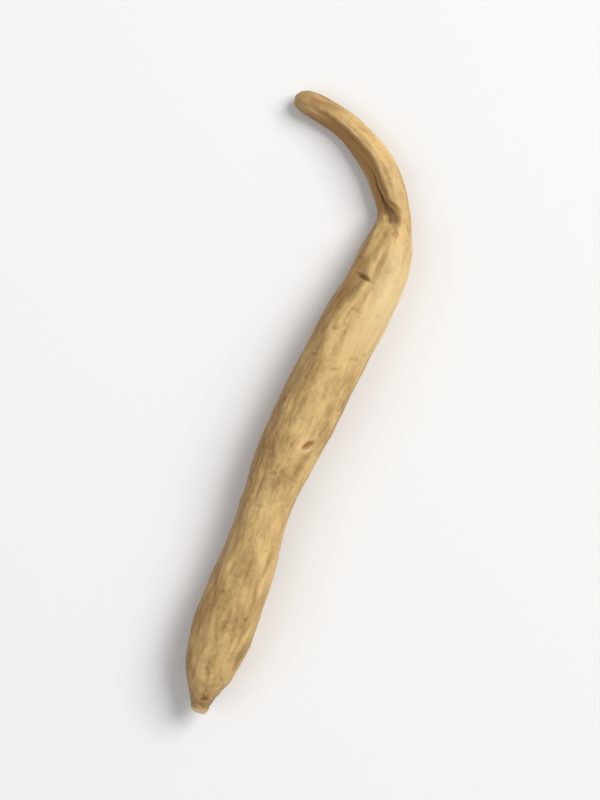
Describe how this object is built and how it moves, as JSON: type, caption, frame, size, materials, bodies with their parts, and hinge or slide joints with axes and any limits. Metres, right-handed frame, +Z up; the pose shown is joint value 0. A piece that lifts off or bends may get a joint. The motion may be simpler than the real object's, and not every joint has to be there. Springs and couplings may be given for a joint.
{
  "type": "dried pseudostellaria root",
  "caption": "Slender dried tuberous root with low swells, a blunt crown and a thin furrowed tail that hooks to one side, lying flat.",
  "frame": {"origin": "on the surface that the root rests on, below the middle of its bounding box", "axes": "+Z up from the surface; the root runs from its crown at -Y to its tail at +Y, and the tail hooks towards -X"},
  "size_m": [0.0182, 0.0502, 0.0053],
  "materials": {
    "root_skin": "dry, wrinkled tan skin with a faint satin sheen, browner in its furrow and at its scars"
  },
  "bodies": {
    "root": {"tuberous_root": "root_skin"}
  },
  "joints": []
}
